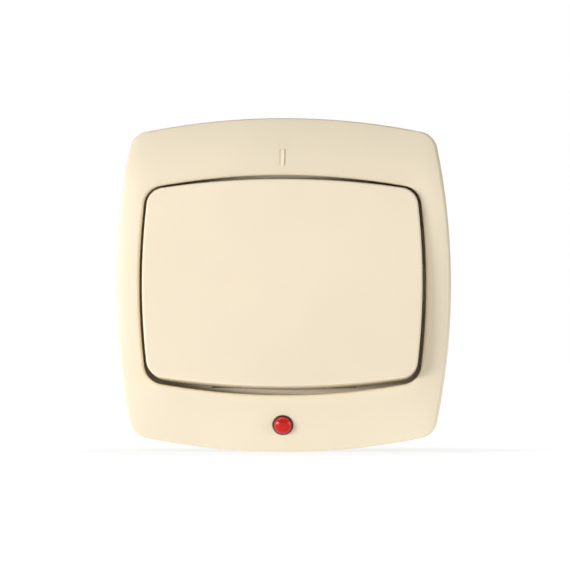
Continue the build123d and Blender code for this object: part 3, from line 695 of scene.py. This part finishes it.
class SWITCH_OT_screws(Operator):
    """Make the claw screws and the frame screws' threads, and dress all screws"""
    bl_idname = "switch.screws"
    bl_label = "Screws"

    def execute(self, context):
        sizes = context.scene.switch_sizes
        bright_zinc = shade(context.scene.switch_colours.zinc, 1.06)
        material = plated("zinc_screw", bright_zinc, rough=0.24)
        self.claw_screws(material, sizes)
        dress(material, "frame_screws", "terminal_screws")
        self.frame_screw_threads(material, sizes)
        return {"FINISHED"}

    def frame_screw_threads(self, material, sizes):
        """Thread on the ends that stand out behind the plate."""
        head_radius = 2.8 * MM
        shank = 1.45 * MM
        sink = 0.05 * MM
        free = 2.0 * MM
        low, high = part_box("frame_screws")
        upper = (low.x + head_radius, high.z - head_radius)
        lower = (high.x - head_radius, low.z + head_radius)
        crest = shank + sizes.thread_depth / 2
        bm = bmesh.new()
        for x, z in (upper, lower):
            start = Vector((x, high.y - free, z))
            thread(bm, start, BACK, shank - sink, crest, sizes.thread_pitch, free)
        keep("frame_screw_threads", bm, material, "base")

    def claw_screws(self, material, sizes):
        """Long screws with a slotted head, a plain neck, a thread and a drawn-in tip."""
        crest = 1.5 * MM
        head_height = 2.0 * MM
        slot_width = 0.8 * MM
        slot_depth = 0.7 * MM
        neck = 0.9 * MM
        neck_end = 1.3 * MM
        thread_start = 1.2 * MM
        thread_short = 1.8 * MM
        tip = 0.5 * MM
        tip_draw = 0.35 * MM
        overlap = 0.1 * MM
        sink = 0.03 * MM
        low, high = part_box("claw_screws")
        head_radius = high.z
        reach = high.x - head_radius
        seat = low.y + head_height
        length = high.y - seat
        root = crest - sizes.thread_depth
        shank = [(0, -overlap), (root, -overlap), (root, length - tip), (root - tip_draw, length),
                 (0, length)]
        plain = [(0, 0), (crest, 0), (crest, neck), (root, neck_end), (0, neck_end)]
        bm = bmesh.new()
        for side in (-1, 1):
            start = Vector((side * reach, seat, 0))
            turned(bm, shank, start, BACK)
            thread(bm, start + BACK * thread_start, BACK, root - sink, crest, sizes.thread_pitch,
                   length - thread_short)
            turned(bm, plain, start, BACK)
            slotted_head(bm, start, -BACK, head_radius, head_height, slot_width, slot_depth)
        piece = keep("claw_screws_threaded", bm, material, "base")
        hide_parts("claw_screws")


class SWITCH_OT_spring(Operator):
    """Wind the plunger's spring"""
    bl_idname = "switch.spring"
    bl_label = "Plunger spring"

    def execute(self, context):
        closed_turns = 0.75
        open_turns = 4
        wire = context.scene.switch_sizes.spring_wire
        slide = next(row for row in RECORD["behaviour"]["joints"] if row["name"] == "plunger_slide")
        axis = Vector(slide["axis"]).normalized()
        travel = slide["range_m"][1] - slide["range_m"][0]
        low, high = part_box("plunger_spring")
        outer = (high.x - low.x) / 2
        lean = axis.angle(BACK)
        length = (high.y - low.y - 2 * outer * math.sin(lean)) / math.cos(lean)
        foot = (low + high) / 2 - axis * length / 2
        closed_pitch = 2.1 * wire
        open_pitch = (length - 2 * wire - 2 * closed_turns * closed_pitch) / open_turns
        ends = (closed_turns, closed_pitch)
        bm = bmesh.new()
        coil(bm, foot + axis * wire, axis, wire, outer - wire, (ends, (open_turns, open_pitch), ends))
        steel = context.scene.switch_colours.spring_steel
        oiled = (0.4, 0.36, 0.3)
        material = plated("spring_steel", steel, rough=0.28, tint=oiled, tint_share=0.3)
        piece = keep("plunger_spring_wound", bm, material, "rocker")
        1 - travel / length
        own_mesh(piece)
        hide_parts("plunger_spring")
        return {"FINISHED"}


class SWITCH_OT_rivets(Operator):
    """Make the hollow rivets with rolled rims"""
    bl_idname = "switch.rivets"
    bl_label = "Rivets"

    def execute(self, context):
        rim = 2.0 * MM
        wall = 1.2 * MM
        bore = 0.7 * MM
        mouth = 0.25 * MM
        mouth_depth = 0.3 * MM
        curl = 0.3 * MM
        roll = (0, 0.4, 0.8, 1.2, 1.57, 2.0, 2.4, 2.8, math.pi)
        low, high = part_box("housing_rivets")
        top = high.y - low.y
        near = [(rim - curl + curl * math.sin(angle), curl - curl * math.cos(angle)) for angle in roll]
        far = [(radius, top - height) for radius, height in reversed(near)]
        barrel = [(wall, 2 * curl), (wall, top - 2 * curl)]
        inside = [(bore + mouth, top), (bore, top - mouth_depth), (bore, mouth_depth), (bore + mouth, 0)]
        bm = bmesh.new()
        for x in (low.x + rim, high.x - rim):
            for z in (low.z + rim, high.z - rim):
                start = Vector((x, low.y, z))
                turned(bm, near + barrel + far + inside, start, BACK, steps=36, closed=True)
        pale_brass = blend(context.scene.switch_colours.brass, (0.8, 0.7, 0.5), 0.4)
        material = warm_metal("rivet_brass", pale_brass, rough=0.3)
        piece = keep("housing_rivets_rolled", bm, material, "base")
        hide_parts("housing_rivets")
        return {"FINISHED"}


class SWITCH_OT_indicator(Operator):
    """Dress the glow lamp, resistor and leads, and make the lamp's electrodes"""
    bl_idname = "switch.indicator"
    bl_label = "Indicator lamp"

    def execute(self, context):
        colours = context.scene.switch_colours
        dress(lamp_glass("lamp_glass"), "neon_lamp")
        dress(banded_resistor("resistor_lacquer", SLOT_COLOUR["resistor_body"]), "lamp_resistor")
        dress(insulation("lead_black", colours.lead_black), "line_lead", "load_lead")
        self.electrodes(plated("electrode_nickel", colours.nickel, rough=0.4))
        return {"FINISHED"}

    def electrodes(self, material):
        """Two rods in a glass bead at the lamp's left end."""
        rod_start = 1.2 * MM
        rod_apart = 0.55 * MM
        bead_start = 0.5 * MM
        rod = millimetres((0, 0), (0.2, 0), (0.2, 1.4), (0.34, 1.5), (0.34, 6.6), (0.22, 6.9), (0, 7.0))
        bead = millimetres((0, 0), (0.9, 0.1), (1.05, 0.6), (0.7, 1.1), (0, 1.3))
        low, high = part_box("neon_lamp")
        middle = (low + high) / 2
        bm = bmesh.new()
        for side in (-1, 1):
            start = Vector((low.x + rod_start, middle.y, middle.z + side * rod_apart))
            turned(bm, rod, start, RIGHT, steps=20)
        turned(bm, bead, Vector((low.x + bead_start, middle.y, middle.z)), RIGHT, steps=28)
        keep("lamp_electrodes", bm, material, "base")


class SWITCH_OT_stage(Operator):
    """Make the floor, the lamps and the camera"""
    bl_idname = "switch.stage"
    bl_label = "Stage"

    def execute(self, context):
        stage = context.scene.switch_stage
        self.floor(context.scene)
        self.world(context.scene)
        for name, (place, width, height) in LAMPS.items():
            power = getattr(stage, f"{name}_power")
            self.lamp(context.scene, f"{name}_lamp", place, power, width, height)
        self.camera(context.scene, stage)
        context.scene.view_settings.view_transform = "Standard"
        return {"FINISHED"}

    def floor(self, scene):
        low, _ = CAD_BOX
        bm = bmesh.new()
        bmesh.ops.create_circle(bm, cap_ends=True, segments=96, radius=FLOOR_RADIUS)
        bmesh.ops.translate(bm, verts=bm.verts, vec=(0, 0, low[2]))
        mesh = bpy.data.meshes.new("floor")
        bm.to_mesh(mesh)
        bm.free()
        mesh.materials.append(pale_floor("floor_white"))
        floor = bpy.data.objects.new("floor", mesh)
        scene.collection.objects.link(floor)

    def world(self, scene):
        """White to the eye, dimmer as a source of light."""
        scene.world = bpy.data.worlds.new("studio")
        scene.world.use_nodes = True
        nodes = scene.world.node_tree.nodes
        links = scene.world.node_tree.links
        nodes.clear()
        path = nodes.new("ShaderNodeLightPath")
        seen = nodes.new("ShaderNodeBackground")
        seen.inputs["Color"].default_value = (1, 1, 1, 1)
        given = nodes.new("ShaderNodeBackground")
        given.inputs["Color"].default_value = SKY_COLOUR
        given.inputs["Strength"].default_value = SKY_LIGHT
        both = nodes.new("ShaderNodeMixShader")
        result = nodes.new("ShaderNodeOutputWorld")
        links.new(path.outputs["Is Camera Ray"], both.inputs["Fac"])
        links.new(given.outputs[0], both.inputs[1])
        links.new(seen.outputs[0], both.inputs[2])
        links.new(both.outputs[0], result.inputs["Surface"])

    def lamp(self, scene, name, place, power, width, height):
        data = bpy.data.lights.new(name, "AREA")
        data.shape = "RECTANGLE"
        data.size = width
        data.size_y = height
        data.energy = power
        lamp = bpy.data.objects.new(name, data)
        lamp.location = place
        lamp.rotation_euler = (-Vector(place)).to_track_quat("-Z", "Y").to_euler()
        lamp.visible_camera = False
        scene.collection.objects.link(lamp)

    def camera(self, scene, stage):
        data = bpy.data.cameras.new("camera")
        data.lens = data.sensor_width * stage.distance / stage.field
        camera = bpy.data.objects.new("camera", data)
        flat = math.cos(stage.elevation)
        out = Vector((math.sin(stage.azimuth) * flat, -math.cos(stage.azimuth) * flat,
                      math.sin(stage.elevation)))
        camera.location = CAMERA_TARGET + out * stage.distance
        camera.rotation_euler = (-out).to_track_quat("-Z", "Y").to_euler()
        scene.collection.objects.link(camera)
        scene.camera = camera


OPERATORS = (
    SWITCH_OT_stage, SWITCH_OT_front, SWITCH_OT_mouldings, SWITCH_OT_metalwork,
    SWITCH_OT_screws, SWITCH_OT_spring, SWITCH_OT_rivets, SWITCH_OT_indicator,
)
GROUPS = {
    "switch_colours": SwitchColours, "switch_sizes": SwitchSizes, "switch_stage": SwitchStage,
}


class SWITCH_PT_looks(Panel):
    """Steps that dress the switch"""
    bl_idname = "SWITCH_PT_looks"
    bl_label = "Switch looks"
    bl_space_type = "VIEW_3D"
    bl_region_type = "UI"
    bl_category = "Switch"

    def draw(self, context):
        for group in GROUPS:
            box = self.layout.box()
            values = getattr(context.scene, group)
            for name in values.__annotations__:
                box.prop(values, name)
        for operator in OPERATORS:
            self.layout.operator(operator.bl_idname)


CLASSES = (*GROUPS.values(), *OPERATORS, SWITCH_PT_looks)


def register():
    for cls in CLASSES:
        bpy.utils.register_class(cls)
    for name, group in GROUPS.items():
        setattr(bpy.types.Scene, name, PointerProperty(type=group))


def unregister():
    for name in GROUPS:
        delattr(bpy.types.Scene, name)
    for cls in reversed(CLASSES):
        bpy.utils.unregister_class(cls)


def main():
    register()
    bpy.ops.switch.stage()
    bpy.ops.switch.front()
    bpy.ops.switch.mouldings()
    bpy.ops.switch.metalwork()
    bpy.ops.switch.screws()
    bpy.ops.switch.spring()
    bpy.ops.switch.rivets()
    bpy.ops.switch.indicator()
    bpy.context.view_layer.update()


if __name__ == "__main__":
    main()
